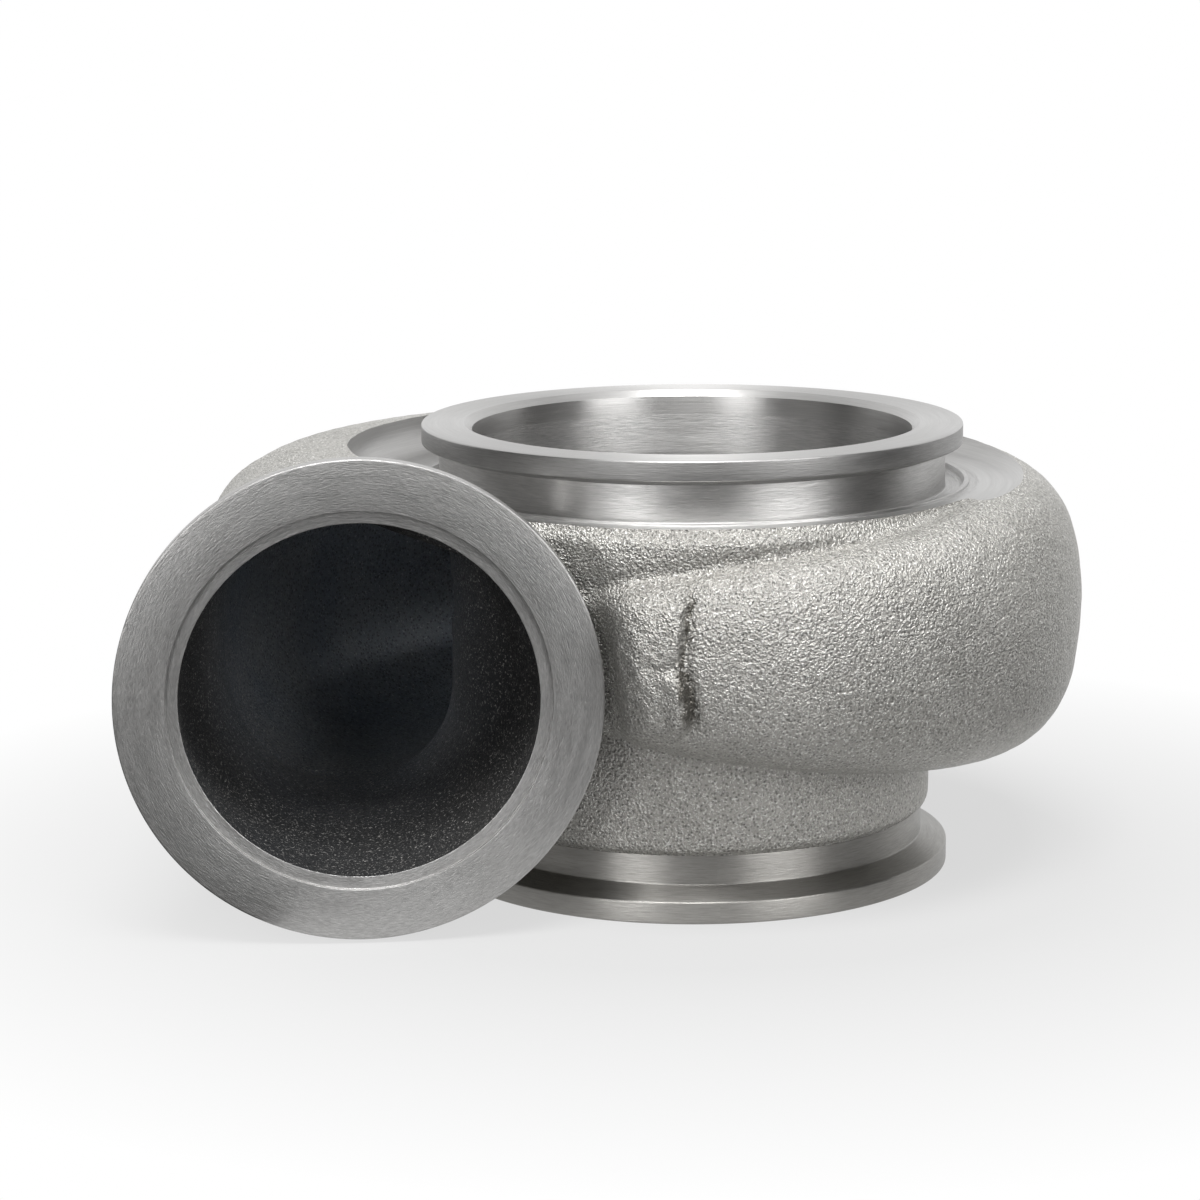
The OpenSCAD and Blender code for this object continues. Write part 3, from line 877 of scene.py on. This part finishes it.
# Bearing neck, the turned wall between the flange and the floor of the recess. A bead and a
# shallow groove run around its foot, and a thin collar of the floor belongs to it.
bead_r = 48.3
bead_in_r = 47.4
bead_z = floor_z + 0.55
groove_r = 46.6
groove_z = floor_z - 0.75
turned_neck = turned_material("turned neck iron", level=0.48, mark_strength=0.9,
                              rough_level=0.40, spread=0.75, around=3)
ring("turned_bearing_neck", "bearing_neck",
     [(bearing_r, neck_seat_z), (floor_inner_r, neck_seat_z), (floor_inner_r, floor_z),
      (bead_r, floor_z), (bead_r, bead_z), (bead_in_r, bead_z),
      (groove_r + 0.4, groove_z + 0.4), (groove_r, groove_z), (bearing_neck_r, groove_z),
      (bearing_neck_r, rim_taper_z), (bearing_r, rim_taper_z)],
     [0, 0, 0, 0.1, 0.25, 0.25, 0.2, 0.3, 0.4, 0, 0], turned_neck)

# Outlet flange with its machined land, turned from the casting. It stands lowest and carries
# the clamp of the exhaust pipe.
outlet_bore_r = mount_r("outlet_bore")
outlet_bore_h = 6
outlet_rim_r = mount_r("outlet_rim")
outlet_rim_h = 3.75
outlet_land_r = outlet_rim_r - 4.55
outlet_land_z = 5.55
outlet_top = end_of("outlet_flange", 1, 2)
turned_outlet = turned_material("turned outlet iron", level=0.30, mark_strength=0.8,
                                rough_level=0.38, spread=0.8, around=3,
                                tint=(1.0, 0.975, 0.925))
ring("turned_outlet_flange", "outlet_flange",
     [(outlet_bore_r, 0), (outlet_rim_r, 0), (outlet_rim_r, outlet_rim_h),
      (outlet_land_r, outlet_land_z), (outlet_land_r, outlet_top), (cone_foot_r, outlet_top),
      (outlet_bore_r, outlet_bore_h)],
     [0.25, 0.35, 0.4, 0.35, 0.1, 0, 0], turned_outlet)

# Inlet flange and the machined land behind it, turned square to the run. A shallow rebate surrounds
# the bore, and the bore itself is sooty, darkened further by painted shade.
inlet_face_y = end_of("inlet_flange", 0, 1)
inlet_rim_h = 2.95
inlet_land_y = end_of("inlet_flange", 1, 1) - inlet_face_y
inlet_land_end = run_y - inlet_face_y
rebate_r = inlet_bore_r + 2.05
rebate_h = 0.8
inlet_at = (inlet_x, inlet_face_y, inlet_z)
turned_inlet = turned_material("turned inlet iron", level=0.42, mark_strength=1.1,
                               rough_level=0.42, spread=0.15, around=6,
                               centre=(inlet_x / 1000, -0.05, inlet_z / 1000), axis="Y")
ring("turned_inlet_flange", "inlet_flange",
     [(rebate_r, 0), (inlet_rim_r, 0), (inlet_rim_r, inlet_rim_h), (inlet_land_r, inlet_land_y),
      (inlet_bore_r, inlet_land_y), (inlet_bore_r, rebate_h), (rebate_r, rebate_h)],
     [0.12, 0.35, 0.35, 0.3, 0, 0.15, 0.08], turned_inlet, inlet_at, "Y", inlet_bore_r + 0.05)
ring("turned_inlet_neck", "inlet_neck",
     [(inlet_bore_r, inlet_land_y), (inlet_land_r, inlet_land_y),
      (inlet_land_r, inlet_land_end), (inlet_bore_r, inlet_land_end)],
     [0, 0, 0, 0], turned_inlet, inlet_at, "Y", inlet_bore_r + 0.05)

# Pale floor under the outlet face. It keeps the shadow of the housing and turns to plain white
# away from it. It isn't part of the object.
floor_reach = 4
shadow_from, shadow_to = 0.07, 0.17


def seen_directly(tree):
    """1 for the camera, and for what metal mirrors or glass lets through."""
    rays = add(tree, "ShaderNodeLightPath")
    seen = math_node(tree, "MAXIMUM", rays.outputs["Is Camera Ray"], rays.outputs["Is Glossy Ray"])
    return math_node(tree, "MAXIMUM", seen, rays.outputs["Is Transmission Ray"])


def floor_material():
    mat, t = new_material("pale floor")
    out = add(t, "ShaderNodeOutputMaterial")
    matt = add(t, "ShaderNodeBsdfDiffuse")
    matt.inputs["Color"].default_value = (0.25, 0.25, 0.25, 1)
    glow = add(t, "ShaderNodeEmission")
    glow.inputs["Strength"].default_value = 1.0
    length = add(t, "ShaderNodeVectorMath", operation="LENGTH")
    t.links.new(add(t, "ShaderNodeTexCoord").outputs["Object"], length.inputs[0])
    away = add(t, "ShaderNodeMapRange")
    away.inputs["From Min"].default_value = shadow_from
    away.inputs["From Max"].default_value = shadow_to
    away.inputs["To Min"].default_value = 0.66
    away.inputs["To Max"].default_value = 1.0
    t.links.new(length.outputs["Value"], away.inputs["Value"])
    mixed = add(t, "ShaderNodeMixShader")
    t.links.new(math_node(t, "MULTIPLY", seen_directly(t), away.outputs[0]), mixed.inputs[0])
    t.links.new(matt.outputs[0], mixed.inputs[1])
    t.links.new(glow.outputs[0], mixed.inputs[2])
    t.links.new(mixed.outputs[0], out.inputs[0])
    return mat


corners = [(x * floor_reach, y * floor_reach, 0) for x, y in ((-1, -1), (1, -1), (1, 1), (-1, 1))]
floor = mesh_object("floor", corners, [(0, 1, 2, 3)], False)
floor.data.materials.append(floor_material())

# Dark cloth, hung around the front of the table as a curtain and laid before it as an apron. The
# turned metal mirrors it between the lamps, so that its bands read dark and bright. The camera
# doesn't see it, and it throws no shadow.
cloth_r = 2.4
curtain_top = 2.6
apron_r = 0.092
turns = [math.radians(d) for d in range(-206, 11, 4)]


def cloth_strip(name, edge_a, edge_b, turned_over):
    """Strip between two level arcs, each given by its radius and height in metres."""
    verts = [(r * math.cos(a), r * math.sin(a), h) for r, h in (edge_a, edge_b) for a in turns]
    n = len(turns)
    faces = [(i, i + 1, i + 1 + n, i + n) for i in range(n - 1)]
    if turned_over:
        faces = [(a, d, c, b) for a, b, c, d in faces]
    return mesh_object(name, verts, faces)


mat, t = new_material("curtain cloth")
out = add(t, "ShaderNodeOutputMaterial")
cloth = add(t, "ShaderNodeBsdfDiffuse")
cloth.inputs["Color"].default_value = (0.05, 0.05, 0.05, 1)
t.links.new(cloth.outputs[0], out.inputs[0])
for piece in (cloth_strip("curtain", (cloth_r, 0.01), (cloth_r, curtain_top), False),
              cloth_strip("apron", (apron_r, 0.001), (cloth_r - 0.01, 0.001), True)):
    piece.data.materials.append(mat)
    piece.visible_camera = False
    piece.visible_diffuse = False
    piece.visible_shadow = False

# Room light. It is weak and even on the housing, and plain white where the camera or the metal
# sees the room behind it.
room_level = 0.2
white_level = 1.0
world = bpy.data.worlds.new("studio")
bpy.context.scene.world = world
world.use_nodes = True
t = world.node_tree
t.nodes.clear()
out = add(t, "ShaderNodeOutputWorld")
mixed = add(t, "ShaderNodeMixShader")
t.links.new(seen_directly(t), mixed.inputs[0])
for socket, strength in ((1, room_level), (2, white_level)):
    light = add(t, "ShaderNodeBackground")
    light.inputs["Color"].default_value = (1, 1, 1, 1)
    light.inputs["Strength"].default_value = strength
    t.links.new(light.outputs[0], mixed.inputs[socket])
t.links.new(mixed.outputs[0], out.inputs[0])

# Lamps, five soft boxes aimed at the middle of the housing. The key box hangs over its front,
# and the side boxes draw the bright bands on the turned metal.
aim = Vector((0.0, 0.0, 0.04))


def soft_box(name, at, wide, tall, watts):
    data = bpy.data.lights.new(name, "AREA")
    data.shape = "RECTANGLE"
    data.size = wide
    data.size_y = tall
    data.energy = watts
    obj = bpy.data.objects.new(name, data)
    bpy.context.scene.collection.objects.link(obj)
    obj.location = at
    obj.rotation_euler = (aim - Vector(at)).to_track_quat("-Z", "Y").to_euler()


soft_box("key_box", (-0.05, -0.62, 1.42), wide=0.7, tall=0.6, watts=31)
soft_box("front_box", (-0.10, -1.60, 0.30), wide=0.45, tall=0.55, watts=0.6)
soft_box("right_box", (0.90, -1.20, 0.48), wide=0.84, tall=0.76, watts=11)
soft_box("left_box", (-0.80, -1.26, 0.38), wide=0.56, tall=0.66, watts=7)
soft_box("top_box", (0.1, 0.1, 1.3), wide=0.9, tall=0.7, watts=2)

# Camera, with a 102 mm lens on a 36 mm frame. It stands where the photograph was taken from, a
# little above the housing and in front of the inlet.
eye = Vector((-0.061136, -0.584597, 0.162820))
ahead = Vector((0.07515, 0.97793, -0.19494)).normalized()
roll = -0.006
side = Vector((ahead.y, -ahead.x, 0)).normalized()
over = side.cross(ahead)
right = side * math.cos(roll) + over * math.sin(roll)
up = over * math.cos(roll) - side * math.sin(roll)
camera = bpy.data.objects.new("camera", bpy.data.cameras.new("camera"))
bpy.context.scene.collection.objects.link(camera)
camera.data.lens = 102
camera.data.sensor_width = 36
camera.data.clip_start = 0.01
looking = Matrix((right, up, -ahead)).transposed().to_4x4()
camera.matrix_world = Matrix.Translation(eye) @ looking
bpy.context.scene.camera = camera
bpy.context.scene.view_settings.view_transform = "Standard"
